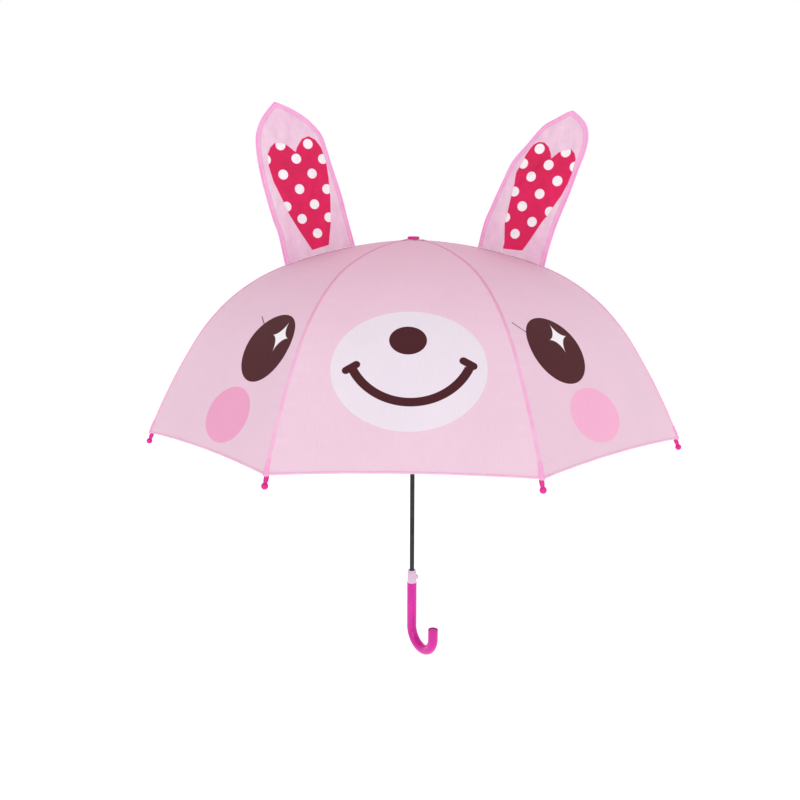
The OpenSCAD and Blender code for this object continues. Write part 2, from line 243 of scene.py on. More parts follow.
eyes = {
    "left": {
        "eye": ((0.0525, 0.3382), (0.0468, 0.0434), math.radians(-56)),
        "star": ((0.0696, 0.3231), (0.0168, 0.0207), math.radians(3)),
        "lash": ((0.0055, 0.2982), (0.0234, 0.3106)),
        "cheek": ((0.0279, 0.4282), (0.0452, 0.0346), math.radians(-8.2)),
        "cheekColour": (0.775, 0.330, 0.515),
    },
    "right": {
        "eye": ((-0.0405, 0.3408), (0.0480, 0.0425), math.radians(36)),
        "star": ((-0.0281, 0.3266), (0.0180, 0.0199), math.radians(-5)),
        "lash": ((-0.0948, 0.2997), (-0.0805, 0.3140)),
        "cheek": ((-0.0150, 0.4262), (0.0458, 0.0330), math.radians(9)),
        "cheekColour": (0.835, 0.395, 0.580),
    },
}


def weaveHeight(tree, across, along, pitch):
    warp = calc(tree, "SINE", calc(tree, "MULTIPLY", across, 2 * math.pi / pitch))
    weft = calc(tree, "SINE", calc(tree, "MULTIPLY", along, 2 * math.pi / pitch))
    return calc(tree, "MULTIPLY", warp, weft)


def clothMaterial(name, printed=None):
    material, tree, shader = newMaterial(name)
    vector, across, along = clothPlace(tree)
    slubs = noiseValue(tree, stretched(tree, vector, (900, 60, 1)), 1.0, 2)
    blotches = noiseValue(tree, stretched(tree, vector, (9, 7, 1)), 1.0, 3)
    # painted shade: from 0.05 m to 0.34 m along the rib the cloth is blended from the darker crown colour to
    # pinkLow
    height = remap(tree, along, 0.05, 0.34, 0, 1)
    colour = mixColour(tree, height, cloth["pinkCrownShaded"], cloth["pinkLow"])
    if printed:
        colour = printed(tree, across, along, colour)
    threads = remap(tree, slubs, 0.3, 0.7, -0.018, 0.018)
    shade = calc(tree, "ADD", threads, remap(tree, blotches, 0.3, 0.7, 0.975, 1.02))
    tree.links.new(shaded(tree, colour, shade), shader.inputs["Base Color"])
    rough = remap(tree, blotches, 0.3, 0.7, 0.56, 0.68)
    tree.links.new(rough, shader.inputs["Roughness"])
    fabricSheen(shader, 0.04, 0.45, 0.16)
    shader.inputs["Sheen Tint"].default_value = (1.0, 0.86, 0.94, 1)
    weave = weaveHeight(tree, across, along, cloth["threadPitch"])
    bumps = calc(tree, "MULTIPLY_ADD", slubs, 0.8, calc(tree, "MULTIPLY", weave, 0.4))
    addBump(tree, shader, bumps, 0.00012, 0.6)
    return material


def facePrint(tree, across, along, colour):
    colour = mixColour(tree, ovalPrint(tree, across, along, *face["muzzle"]), colour, cloth["muzzle"])
    colour = mixColour(tree, ovalPrint(tree, across, along, *face["nose"]), colour, cloth["brown"])
    smile = arcPrint(tree, across, along, *face["mouth"])
    for start, end in face["mouthEnds"]:
        smile = calc(tree, "MAXIMUM", smile, strokePrint(tree, across, along, start, end, face["endRadius"]))
    return mixColour(tree, smile, colour, cloth["brown"])


def eyePrint(side):
    shapes = eyes[side]

    def printed(tree, across, along, colour):
        lash = strokePrint(tree, across, along, *shapes["lash"], cloth["lashRadius"])
        colour = mixColour(tree, lash, colour, cloth["lash"])
        colour = mixColour(tree, ovalPrint(tree, across, along, *shapes["eye"]), colour, cloth["eyeBrown"])
        colour = mixColour(tree, starPrint(tree, across, along, *shapes["star"]), colour, cloth["star"])
        return mixColour(tree, ovalPrint(tree, across, along, *shapes["cheek"]), colour, shapes["cheekColour"])

    return printed


plainCloth = clothMaterial("plainCloth")
frontCloth = clothMaterial("frontCloth", facePrint)
leftCloth = clothMaterial("leftCloth", eyePrint("left"))
rightCloth = clothMaterial("rightCloth", eyePrint("right"))
panelCloth = [frontCloth, rightCloth] + [plainCloth] * 5 + [leftCloth]  # round from the front towards +X


def bindingMaterial(name, colour, pale, high=None):
    material, tree, shader = newMaterial(name)
    place = objectPlace(tree)
    grain = noiseValue(tree, place, 900, 2)
    patches = noiseValue(tree, place, 40, 3)
    surfaceColour = mixColour(tree, remap(tree, patches, 0.35, 0.65, 0, 1), colour, pale)
    # painted shade: between 0.40 m and 0.53 m up, the colour is blended to the darker high colour, the shadow
    # lines along the seams at the crown
    if high:
        split = tree.nodes.new("ShaderNodeSeparateXYZ")
        tree.links.new(place, split.inputs[0])
        surfaceColour = mixColour(tree, remap(tree, split.outputs[2], 0.40, 0.53, 0, 1), surfaceColour, high)
    tree.links.new(surfaceColour, shader.inputs["Base Color"])
    tree.links.new(remap(tree, grain, 0.3, 0.7, 0.5, 0.66), shader.inputs["Roughness"])
    fabricSheen(shader, 0.08, 0.4, 0.28)
    addBump(tree, shader, grain, 0.0002, 0.5)
    return material


# the seam tape's third colour is painted shade for its upper part near the crown
seamTape = bindingMaterial("seamTape", (0.790, 0.345, 0.565), (0.790, 0.440, 0.615), (0.640, 0.240, 0.410))
hemTape = bindingMaterial("hemTape", (0.770, 0.400, 0.590), (0.770, 0.470, 0.630))
tabTape = bindingMaterial("tabTape", (0.790, 0.330, 0.560), (0.790, 0.400, 0.600))
earTape = bindingMaterial("earTape", (0.800, 0.270, 0.560), (0.800, 0.350, 0.610))
print("fabrics ready")


canopy = {
    "crownRadius": 0.0074,
    "lengths": (0.180, 0.160, 0.146),
    "slopes": (3.5, 20.0, 57.0, 68.0),
    "tipReach": 0.011,
    "hemArch": 0.003,
    "draw": 0.008,
    "innerStart": 0.0046,
    "thickness": 0.00035,
    "rows": 116,
    "columns": 27,
    "billow": 0.0011,
    "billowFrom": 0.03,
    "pucker": 0.00045,
    "puckerWidth": 0.006,
    "hemRipple": 0.0008,
    "keep": 0.6,
}


def curveParts():
    starts, middles, bends = [], [], []
    place = np.array([canopy["crownRadius"], crownHeight])
    run = 0.0
    for index, length in enumerate(canopy["lengths"]):
        first = math.radians(canopy["slopes"][index])
        bend = length / (math.radians(canopy["slopes"][index + 1]) - first)
        middle = place - bend * np.array([math.sin(first), math.cos(first)])
        starts.append(run)
        middles.append(middle)
        bends.append(bend)
        last = first + length / bend
        place = middle + bend * np.array([math.sin(last), math.cos(last)])
        run += length
    return np.array(starts), np.array(middles), np.array(bends), run


curveStarts, curveMiddles, curveBends, ribLength = curveParts()
hemAt = ribLength - canopy["tipReach"]


def slopeAt(s):
    arc = np.clip(np.searchsorted(curveStarts, s, side="right") - 1, 0, 2)
    return np.radians(np.array(canopy["slopes"])[arc]) + (s - curveStarts[arc]) / curveBends[arc]


def lineAt(s, off):
    arc = np.clip(np.searchsorted(curveStarts, s, side="right") - 1, 0, 2)
    slope = slopeAt(s)
    reach = curveBends[arc] + off
    return curveMiddles[arc, 0] + reach * np.sin(slope), curveMiddles[arc, 1] + reach * np.cos(slope)


def canopySurface(s, c, off):
    # points in the rib's own directions: outward, towards the next rib, up
    q = 2 * np.abs(c) - c * c
    r, z = lineAt(s * (1 - q * canopy["hemArch"] / hemAt), off)
    x = np.abs(c) * r * math.sin(halfSector)
    draw = canopy["draw"] * r * q
    return np.stack([
        r - x * math.sin(halfSector) - draw * math.cos(halfSector),
        np.sign(c) * (x * math.cos(halfSector) - draw * math.sin(halfSector)),
        z,
    ], axis=-1)


def ribAngle(k):
    return -math.pi / 2 + halfSector + 2 * halfSector * k


def turnedTo(k, points):
    a = ribAngle(k)
    turn = np.array([[math.cos(a), math.sin(a), 0], [-math.sin(a), math.cos(a), 0], [0, 0, 1]])
    return points @ turn


def worldNoise(points, scale, shift=0.0):
    flat = points.reshape(-1, 3) * scale + shift
    return np.array([noise.noise(Vector(p)) for p in flat]).reshape(points.shape[:-1])


def clothWrinkle(k, s, c):
    # how far the cloth stands off its smooth shape, the same on both sides of a shared edge
    base = turnedTo(k, canopySurface(s, c, np.zeros_like(s)))
    half = lineAt(s, np.zeros_like(s))[0] * math.sin(halfSector)
    x = np.abs(c) * half
    freedom = 1 - np.exp(-x / canopy["billowFrom"])
    billow = worldNoise(base, 9.0) * canopy["billow"] * freedom * np.clip(s / 0.12, 0, 1)
    near = x / canopy["puckerWidth"]
    grip = near * np.exp(1 - near) * (1 - np.abs(c)) * np.clip(s / 0.08, 0, 1)
    phase = 1.7 * k + np.where(c < 0, 0.9, 0.0)
    ticks = np.sin(s * 2 * math.pi / 0.0135 + phase) + 0.7 * np.sin(s * 2 * math.pi / 0.0219 + 2.3 * phase)
    pucker = ticks * 0.6 * canopy["pucker"] * grip
    edge = np.exp(-(hemAt - s) / 0.022)
    ripple = worldNoise(base, 32.0, 4.0) * canopy["hemRipple"] * edge * (1 - np.exp(-x / 0.015))
    return billow + pucker + ripple


def addPiece(name, points, faces, materials, faceMaterials=None, smooth=True):
    mesh = bpy.data.meshes.new(name)
    mesh.from_pydata([tuple(p) for p in points], [], faces)
    for material in materials:
        mesh.materials.append(material)
    if faceMaterials is not None:
        mesh.polygons.foreach_set("material_index", faceMaterials)
    piece = bpy.data.objects.new(name, mesh)
    bpy.context.scene.collection.objects.link(piece)
    if smooth:
        mesh.polygons.foreach_set("use_smooth", [True] * len(mesh.polygons))
    return piece


def applyModifiers(piece):
    bpy.context.view_layer.objects.active = piece
    for modifier in list(piece.modifiers):
        bpy.ops.object.modifier_apply(modifier=modifier.name)


def smoothByAngle(piece, degrees=35):
    bpy.ops.object.select_all(action="DESELECT")
    piece.select_set(True)
    bpy.context.view_layer.objects.active = piece
    bpy.ops.object.shade_smooth_by_angle(angle=math.radians(degrees))
    piece.select_set(False)


def gridFaces(rows, columns):
    return [
        (i * columns + j, (i + 1) * columns + j, (i + 1) * columns + j + 1, i * columns + j + 1)
        for i in range(rows - 1) for j in range(columns - 1)
    ]


def outwardFaces(piece):
    tidy = bmesh.new()
    tidy.from_mesh(piece.data)
    bmesh.ops.recalc_face_normals(tidy, faces=tidy.faces)
    tidy.to_mesh(piece.data)
    tidy.free()


def setUv(piece, acrossAlong):
    layer = piece.data.uv_layers.new(name="cloth")
    layer.data.foreach_set("uv", np.asarray(acrossAlong, np.float32).ravel())


def makePanel(k):
    rows, side = canopy["rows"], canopy["columns"]
    columns = 2 * side - 1
    t = np.linspace(0, 1, rows) ** 0.94
    s = np.repeat((canopy["innerStart"] + (hemAt - canopy["innerStart"]) * t)[:, None], columns, axis=1)
    c = np.repeat(np.linspace(-1, 1, columns)[None, :], rows, axis=0)
    c = np.sign(c) * np.abs(c) ** 1.25  # closer lines beside the seam
    points = turnedTo(k, canopySurface(s, c, clothWrinkle(k, s, c))).reshape(-1, 3)
    half = lineAt(s, np.zeros_like(s))[0] * math.sin(halfSector)
    across = np.where(c < 0, half * (1 - np.abs(c)), -half * (1 - np.abs(c))).reshape(-1)
    alongFlat = s.reshape(-1)
    halfFlat = half.reshape(-1)
    faces = gridFaces(rows, columns)
    faceSide = [0 if (n % (columns - 1)) < side - 1 else 1 for n in range(len(faces))]
    piece = addPiece(
        f"canopyPanel_{k + 1}", points, faces,
        [panelCloth[k], panelCloth[(k + 1) % ribCount]], faceSide,
    )
    uv = []
    for corners, which in zip(faces, faceSide):
        for v in corners:
            onSeam = v % columns == side - 1
            p = (halfFlat[v] if which == 0 else -halfFlat[v]) if onSeam else across[v]
            uv.append((p, alongFlat[v]))
    setUv(piece, uv)
    if piece.data.polygons[len(faces) // 2].normal.z < 0:
        piece.data.flip_normals()
    wall = piece.modifiers.new("wall", "SOLIDIFY")
    wall.thickness = canopy["thickness"]
    wall.offset = -1
    applyModifiers(piece)
    smoothByAngle(piece, 40)
    return piece


def sideways(k):
    a = ribAngle(k)
    return Vector((-math.sin(a), math.cos(a), 0))


hem = {
    "height": 0.0018,
    "stand": 0.00045,
    "behind": 0.0010,
    "columns": 49,
}

seam = {
    "start": 0.010,
    "halfTop": 0.0012,
    "halfHem": 0.0022,
    "rise": 0.00075,
    "rows": 150,
    "profile": (-1.0, -0.92, -0.72, -0.45, -0.18, 0.0, 0.18, 0.45, 0.72, 0.92, 1.0),
}

tab = {
    "length": 0.0165,
    "halfTop": 0.0026,
    "halfHem": 0.0036,
    "rise": 0.0014,
    "rows": 12,
}


def makeHem(k):
    height, stand, behind = hem["height"], hem["stand"], hem["behind"]
    profile = [
        (-height, 0.0001), (-height * 0.9, stand), (-height * 0.4, stand * 1.25),
        (0.0002, stand), (0.0007, 0.0), (0.0006, -behind * 0.6),
        (0.0, -behind), (-height * 0.5, -behind * 1.1), (-height * 0.9, -behind),
        (-height, -behind * 0.5),
    ]
    c = np.linspace(-1, 1, hem["columns"])
    across = len(profile)
    rows = []
    wrinkle = clothWrinkle(k, np.full_like(c, hemAt), c)
    for ds, off in profile:
        rows.append(canopySurface(np.full_like(c, hemAt + ds), c, wrinkle + off))
    points = turnedTo(k, np.stack(rows, axis=1)).reshape(-1, 3)
    faces = []
    for i in range(len(c) - 1):
        for j in range(across):
            n = (j + 1) % across
            faces.append((i * across + j, (i + 1) * across + j, (i + 1) * across + n, i * across + n))
    faces.append(tuple(range(across)))
    faces.append(tuple((len(c) - 1) * across + j for j in range(across)))
    piece = addPiece(f"hemBinding_{k + 1}", points, faces, [hemTape])
    outwardFaces(piece)
    smoothByAngle(piece, 60)
    return piece


def bandMesh(name, k, s, halves, rises, profile, material, under=0.0003):
    # a strip that lies over the ridge of the seam, closed underneath
    top = []
    for place, half, rise in zip(s, halves, rises):
        r = float(lineAt(np.array([place]), np.array([0.0]))[0][0]) * math.sin(halfSector)
        c = np.array(profile) * min(half / r, 0.9)
        at = np.full_like(c, min(place, hemAt))
        wrinkle = clothWrinkle(k, at, c)
        stand = rise * np.sqrt(np.clip(1 - np.array(profile) ** 4, 0, 1)) + 0.0001
        ticks = 0.00012 * math.sin(place * 2 * math.pi / 0.0021)
        along = np.full_like(c, place)
        top.append(canopySurface(along, c, wrinkle + stand + ticks * (1 - np.array(profile) ** 2)))
        top.append(canopySurface(along, c, wrinkle - under))
    grid = turnedTo(k, np.array(top))
    rows, columns = len(s), len(profile)
    points = grid.reshape(-1, 3)

    def upper(i, j):
        return 2 * i * columns + j

    def lower(i, j):
        return (2 * i + 1) * columns + j

    faces = []
    for i in range(rows - 1):
        for j in range(columns - 1):
            faces.append((upper(i, j), upper(i + 1, j), upper(i + 1, j + 1), upper(i, j + 1)))
            faces.append((lower(i, j), lower(i, j + 1), lower(i + 1, j + 1), lower(i + 1, j)))
        for j in (0, columns - 1):
            faces.append((upper(i, j), lower(i, j), lower(i + 1, j), upper(i + 1, j)))
    for i in (0, rows - 1):
        for j in range(columns - 1):
            faces.append((upper(i, j), upper(i, j + 1), lower(i, j + 1), lower(i, j)))
    piece = addPiece(name, points, faces, [material])
    outwardFaces(piece)
    smoothByAngle(piece, 50)
    return piece


def makeSeam(k):
    s = np.linspace(seam["start"], hemAt - 0.001, seam["rows"])
    t = s / hemAt
    halves = seam["halfTop"] + (seam["halfHem"] - seam["halfTop"]) * t
    rises = seam["rise"] * (0.5 + 0.5 * t)
    return bandMesh(f"seamTape_{k + 1}", k, s, halves, rises, seam["profile"], seamTape)


def makeTab(k):
    s = np.linspace(hemAt - tab["length"], hemAt + 0.0016, tab["rows"])
    t = np.linspace(0, 1, tab["rows"])
    halves = tab["halfTop"] + (tab["halfHem"] - tab["halfTop"]) * t
    halves[-1] *= 0.8
    rises = np.full_like(s, tab["rise"])
    rises[0] *= 0.75
    rises[-1] *= 0.6
    return bandMesh(f"tipPocket_{k + 1}", k, s, halves, rises, seam["profile"], tabTape, under=0.0005)


for k in range(ribCount):
    body = f"rib_body_{k + 1}"
    panel = makePanel(k)
    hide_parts(f"canopy_{k + 1}")
    binding = makeHem(k)
    tape = makeSeam(k)
    pocket = makeTab(k)
    for piece in (panel, binding, tape, pocket):
        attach(piece, body)
    for piece in (panel, binding):
        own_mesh(piece)
print("canopy sewn")


ears = {
    "right": {
        "rib": 1,
        "outer": (
            (189, -34.4), (195, -11.3), (204, 16.7), (219, 53.8), (229, 82.8), (237, 104.9), (239.5, 122),
            (237, 135), (229.9, 145.1), (219.9, 154.2),
        ),
        "inner": (
            (98.4, -10.1), (106.7, 20), (117.7, 44.1), (132.7, 75.1), (144.7, 98.2), (163.7, 118.2),
            (182.8, 138.3), (200.8, 147.2), (211.9, 152.2), (219.9, 154.2),
        ),
        "patch": (
            (132.9, -14), (134.8, -6.2), (135, 19), (139.1, 34.5), (143.3, 52.6), (145.8, 62.9), (147.6, 72),
            (149.3, 83.6), (153.3, 90), (159.3, 99.1), (161.2, 104.2), (166.5, 111.9), (172, 117.7),
            (178.8, 120.2), (185.8, 118.9), (191.5, 112.9), (194.6, 103.8), (194.8, 97.9), (198.8, 101.1),
            (204.2, 105), (209, 106.5), (215.2, 107.7), (220.7, 108), (225.2, 102.1), (226.7, 95.6),
            (225.5, 90.5), (223, 80.1), (217.9, 65.9), (210, 51.8), (203.4, 42.8), (194, 28.7), (186, 19.8),
            (177.3, 6.9), (169, -5), (160, -17),
        ),
        "dots": (
            (179.7, 111.5), (213.9, 104.9), (158.7, 94.5), (192.2, 90.6), (226, 86), (169.7, 77.5),
            (204.3, 70), (148, 59.6), (181.8, 55), (159, 40.3), (195.7, 31.9), (136.2, 27.1), (172.4, 19.9),
            (149.7, 5.2),
        ),
        "folds": (
            ((180.9, 94.9), (149.7, 69.4), 0.0025, 3),
            ((222.9, 148.2), (239, 113.9), 0.0012, 6),
            ((194.8, 141.2), (148.7, 94.2), -0.0009, 9),
        ),
    },
    "left": {
        "rib": 6,
        "outer": (
            (183.7, -39.2), (191.9, 3.8), (198, 20.8), (209.2, 59.9), (216.4, 95), (218.6, 122.1),
            (214.7, 140.2), (207.7, 153.3), (200.7, 162.4), (193.7, 170.5),
        ),
        "inner": (
            (88.2, -12.5), (94.9, 13.5), (107.1, 57.6), (120.2, 95.6), (132.4, 131.7), (147.5, 148.7),
            (159.6, 157.2), (172.7, 163.6), (183.7, 167.6), (193.7, 170.5),
        ),
        "patch": (
            (147.8, -15.9), (164.9, 9), (180.1, 33), (187.1, 48), (198.3, 71), (204.4, 91),
            (205.5, 104.1), (201.5, 114.2), (195.5, 120.2), (186.5, 120.8), (179.5, 118.3), (172.4, 113.4),
            (168.4, 109.4), (166.4, 116.4), (159.5, 127.5), (150.5, 131.6), (141.4, 127.6), (133.4, 117.7),
            (127.3, 100.6), (124.2, 81.6), (122.1, 57.5), (121.5, 22.4), (124.8, -8.7),
        ),
        "dots": (
            (188, 117.8), (151.7, 121.5), (167.6, 101.8), (131.8, 103.5), (185.4, 80.8), (146.7, 84),
            (164.1, 63.2), (126.6, 65), (181.8, 39.9), (143.9, 44.5), (161, 24.9), (124, 28.1), (140.2, 6.6),
            (207.6, 98.4),
        ),
        "folds": (
            ((188.6, 151.4), (202.2, 60.9), 0.0008, 7),
            ((178.7, 159.5), (130.3, 101.6), -0.0009, 8),
            ((170.5, 141.5), (167.4, 113.4), 0.0007, 6),
        ),
    },
}

earCloth = {
    "rows": 120,
    "columns": 61,
    "halfThick": 0.0023,
    "edgeThick": 0.0007,
    "crease": 0.0015,
    "dotRadius": 6.4,
    "rimWidth": 4.4,
    "pipeRadius": 0.0014,
    "body": (0.770, 0.470, 0.640),
    "bodyPale": (0.780, 0.560, 0.670),
    "rim": (0.830, 0.400, 0.640),
    "patch": (0.700, 0.008, 0.100),
    "patchDeep": (0.590, 0.006, 0.075),
    "dot": (0.860, 0.800, 0.840),
    "stitch": (0.740, 0.240, 0.500),
}


def earMaterial(name, printed):
    material, tree, shader = newMaterial(name)
    vector, across, along = clothPlace(tree)
    slubs = noiseValue(tree, stretched(tree, vector, (900, 80, 1)), 1.0, 2)
    blotches = noiseValue(tree, stretched(tree, vector, (26, 14, 1)), 1.0, 4)
    colour = mixColour(tree, remap(tree, blotches, 0.35, 0.65, 0, 1), earCloth["body"], earCloth["bodyPale"])
    rim = remap(tree, attribute(tree, "fromEdge"), earCloth["rimWidth"] - 0.8, earCloth["rimWidth"] + 0.8, 1, 0)
    colour = mixColour(tree, rim, colour, earCloth["rim"])
    if printed:
        patch = remap(tree, attribute(tree, "patch"), -0.35, 0.35, 0, 1)
        red = mixColour(tree, remap(tree, blotches, 0.35, 0.65, 0, 1), earCloth["patchDeep"], earCloth["patch"])
        colour = mixColour(tree, patch, colour, red)
        dots = calc(tree, "MULTIPLY", patch, remap(tree, attribute(tree, "dots"), -0.35, 0.35, 0, 1))
        colour = mixColour(tree, dots, colour, earCloth["dot"])
    # the row of stitches along the rim
    fromStitch = calc(tree, "SUBTRACT", attribute(tree, "fromEdge"), earCloth["rimWidth"])
    fromStitch = calc(tree, "ABSOLUTE", fromStitch)
    stitch = remap(tree, fromStitch, 0.25, 0.75, 0.55, 0)
    colour = mixColour(tree, stitch, colour, earCloth["stitch"])
    crumple = noiseValue(tree, stretched(tree, vector, (95, 60, 1)), 1.0, 5, 0.62)
    light = calc(tree, "MULTIPLY_ADD", crumple, 0.34, 0.83)
    tree.links.new(shaded(tree, colour, light), shader.inputs["Base Color"])
    tree.links.new(remap(tree, blotches, 0.3, 0.7, 0.5, 0.64), shader.inputs["Roughness"])
    fabricSheen(shader, 0.08, 0.4, 0.25)
    weave = weaveHeight(tree, across, along, cloth["threadPitch"])
    ridge = calc(tree, "MULTIPLY", rim, 1.6)
    bumps = calc(tree, "ADD", ridge, calc(tree, "MULTIPLY_ADD", slubs, 0.8, calc(tree, "MULTIPLY", weave, 0.4)))
    bumps = calc(tree, "MULTIPLY_ADD", crumple, 9.0, bumps)
    addBump(tree, shader, bumps, 0.00016, 0.8)
    return material


earPrinted = earMaterial("earPrinted", True)
earPlain = earMaterial("earPlain", False)


def resampled(corners, count, ease=1.0):
    corners = np.array(corners, float)
    # rounded line through the corners
    fine = []
    padded = np.vstack([2 * corners[0] - corners[1], corners, 2 * corners[-1] - corners[-2]])
    for i in range(1, len(padded) - 2):
        a, b, c, d = padded[i - 1:i + 3]
        for u in np.linspace(0, 1, 12, endpoint=False):
            square = (2 * a - 5 * b + 4 * c - d) * u * u
            cube = (3 * b - a - 3 * c + d) * u ** 3
            fine.append(0.5 * (2 * b + (c - a) * u + square + cube))
    fine.append(corners[-1])
    fine = np.array(fine)
    run = np.concatenate([[0], np.cumsum(np.linalg.norm(np.diff(fine, axis=0), axis=1))])
    want = run[-1] * np.linspace(0, 1, count) ** ease
    return np.stack([np.interp(want, run, fine[:, i]) for i in (0, 1)], axis=1)


def insideShape(points, corners):
    # distance to the outline in mm, positive inside
    corners = np.array(corners, float)
    closed = np.vstack([corners, corners[:1]])
    near = np.full(len(points), 1e9)
    inside = np.zeros(len(points), bool)
    for a, b in zip(closed[:-1], closed[1:]):
        run = b - a
        t = np.clip(((points - a) @ run) / (run @ run), 0, 1)
        near = np.minimum(near, np.linalg.norm(points - a - t[:, None] * run, axis=1))
        crosses = (a[1] > points[:, 1]) != (b[1] > points[:, 1])
        with np.errstate(divide="ignore", invalid="ignore"):
            at = a[0] + (points[:, 1] - a[1]) / (b[1] - a[1]) * run[0]
        inside ^= crosses & (points[:, 0] < at)
    return np.where(inside, near, -near)


def ridgeHeight(r):
    s = np.linspace(0, ribLength, 800)
    rs, zs = lineAt(s, np.full_like(s, 0.0009))
    return np.interp(r, rs, zs)


def segmentGap(points, a, b):
    a, b = np.array(a, float), np.array(b, float)
    run = b - a
    t = np.clip(((points - a) @ run) / (run @ run), 0, 1)
    return np.linalg.norm(points - a - t[:, None] * run, axis=1)


def makeEar(side):
    facts = ears[side]
    k = facts["rib"]
    rows, columns = earCloth["rows"], earCloth["columns"]
    outer = resampled(facts["outer"], rows)
    inner = resampled(facts["inner"], rows)
    u = np.linspace(0, 1, columns)
    u = 0.5 - 0.5 * np.cos(math.pi * u)
    flat = inner[:, None, :] * (1 - u)[None, :, None] + outer[:, None, :] * u[None, :, None]
    # the foot follows the seam it is sewn to
    lift = ridgeHeight(flat[0, :, 0] / 1000) * 1000 - crownHeight * 1000 - flat[0, :, 1]
    fade = np.clip(1 - np.arange(rows) / (rows * 0.22), 0, 1) ** 1.5
    flat[:, :, 1] += fade[:, None] * lift[None, :]
    points2 = flat.reshape(-1, 2)
    sides = np.minimum(segmentGapLine(points2, flat[:, 0]), segmentGapLine(points2, flat[:, -1]))
    swell = np.sqrt(np.clip(1 - (2 * u - 1) ** 2, 0, 1))[None, :] * np.ones((rows, 1))
    width = np.linalg.norm(outer - inner, axis=1)
    swell = swell * np.clip(width / 60, 0, 1)[:, None]
    metres = flat / 1000
    place = np.stack([metres[:, :, 0], np.zeros((rows, columns)), metres[:, :, 1] + crownHeight], axis=-1)
    facing = -1 if side == "right" else 1  # the way the printed layer looks, along the rib's sideways axis
    layers = []
    for layer in (1, -1):
        seed = 3.0 if layer > 0 else 9.0
        creases = worldNoise(place * np.array([1.0, 1.0, 0.28]), 62.0, seed + k) * earCloth["crease"]
        creases += worldNoise(place, 150.0, seed + 2 * k) * earCloth["crease"] * 0.25
        for start, end, depth, wide in facts["folds"]:
            gap = segmentGap(points2, start, end).reshape(rows, columns)
            creases -= depth * np.exp(-(gap / wide) ** 2)
        soft = np.clip(sides.reshape(rows, columns) / 9, 0, 1)
        stand = earCloth["edgeThick"] + (earCloth["halfThick"] - earCloth["edgeThick"]) * swell + creases * soft
        at = place.copy()
        at[:, :, 1] = facing * layer * np.maximum(stand, earCloth["edgeThick"] * 0.8)
        layers.append(at)
    # a slow bend of the whole ear, so that it isn't a flat board
    up = np.clip(flat[:, :, 1] / 150, -0.2, 1.1)
    bow = 0.0022 * np.sin(up * 2.6 + (0.5 if side == "right" else 0.0)) * np.clip(up * 3, 0, 1)
    for at in layers:
        at[:, :, 1] += facing * bow
    count = rows * columns
    points = turnedTo(k, np.concatenate([at.reshape(-1, 3) for at in layers]))
    faces = gridFaces(rows, columns)
    front = len(faces)
    faces += [tuple(reversed([v + count for v in f])) for f in gridFaces(rows, columns)]
    edge = [i * columns for i in range(rows)] + [(rows - 1) * columns + j for j in range(1, columns)]
    edge += [i * columns + columns - 1 for i in range(rows - 2, -1, -1)] + list(range(columns - 2, 0, -1))
    faces += [(a, b, b + count, a + count) for a, b in zip(edge, edge[1:] + edge[:1])]
    which = [0] * front + [1] * (len(faces) - front)
    piece = addPiece(f"ear_{side}_cloth", points, faces, [earPrinted, earPlain], which)
    flatMm = np.vstack([points2, points2])
    patch = insideShape(points2, facts["patch"])
    toDot = np.min([np.linalg.norm(points2 - d, axis=1) for d in np.array(facts["dots"])], axis=0)
    dots = np.where(patch > -8, earCloth["dotRadius"] - toDot, -5)
    setAttribute(piece, "patch", np.concatenate([patch, patch]))
    setAttribute(piece, "dots", np.concatenate([dots, dots]))
    setAttribute(piece, "fromEdge", np.concatenate([sides, sides]))
    uv = [(flatMm[v, 0] / 1000, flatMm[v, 1] / 1000) for f in faces for v in f]
    setUv(piece, uv)
    tidy = bmesh.new()
    tidy.from_mesh(piece.data)
    bmesh.ops.remove_doubles(tidy, verts=tidy.verts, dist=0.00002)
    bmesh.ops.recalc_face_normals(tidy, faces=tidy.faces)
    tidy.to_mesh(piece.data)
    tidy.free()
    smoothByAngle(piece, 60)
    middle = (layers[0] + layers[1]) / 2
    path = np.vstack([middle[:, 0], middle[-2::-1, -1]])
    return piece, turnedTo(k, path)


def segmentGapLine(points, line):
    near = np.full(len(points), 1e9)
    for a, b in zip(line[:-1], line[1:]):
        run = b - a
        size = run @ run
        if size < 1e-9:
            continue
        t = np.clip(((points - a) @ run) / size, 0, 1)
        near = np.minimum(near, np.linalg.norm(points - a - t[:, None] * run, axis=1))
    return near


def setAttribute(piece, name, values):
    layer = piece.data.attributes.new(name, "FLOAT", "POINT")
    layer.data.foreach_set("value", np.asarray(values, np.float32))


def makeTube(name, path, radius, material, side, around=10):
    path = np.asarray(path)
    keep = [0]
    for i in range(1, len(path)):
        if np.linalg.norm(path[i] - path[keep[-1]]) > radius * 0.5:
            keep.append(i)
    path = path[keep]
    tangent = np.gradient(path, axis=0)
    tangent /= np.linalg.norm(tangent, axis=1)[:, None]
    side = np.array(side, float)
    other = np.cross(tangent, side)
    other /= np.linalg.norm(other, axis=1)[:, None]
    angles = np.linspace(0, 2 * math.pi, around, endpoint=False)
    cosines, sines = np.cos(angles)[:, None], np.sin(angles)[:, None]
    rings = [place + radius * (cosines * side + sines * out) for place, out in zip(path, other)]
    points = np.concatenate(rings)
    faces = []
    for i in range(len(path) - 1):
        for j in range(around):
            n = (j + 1) % around
            faces.append((i * around + j, i * around + n, (i + 1) * around + n, (i + 1) * around + j))
    faces.append(tuple(range(around)))
    faces.append(tuple((len(path) - 1) * around + j for j in range(around)))
    piece = addPiece(name, points, faces, [material])
    outwardFaces(piece)
    smoothByAngle(piece, 60)
    return piece


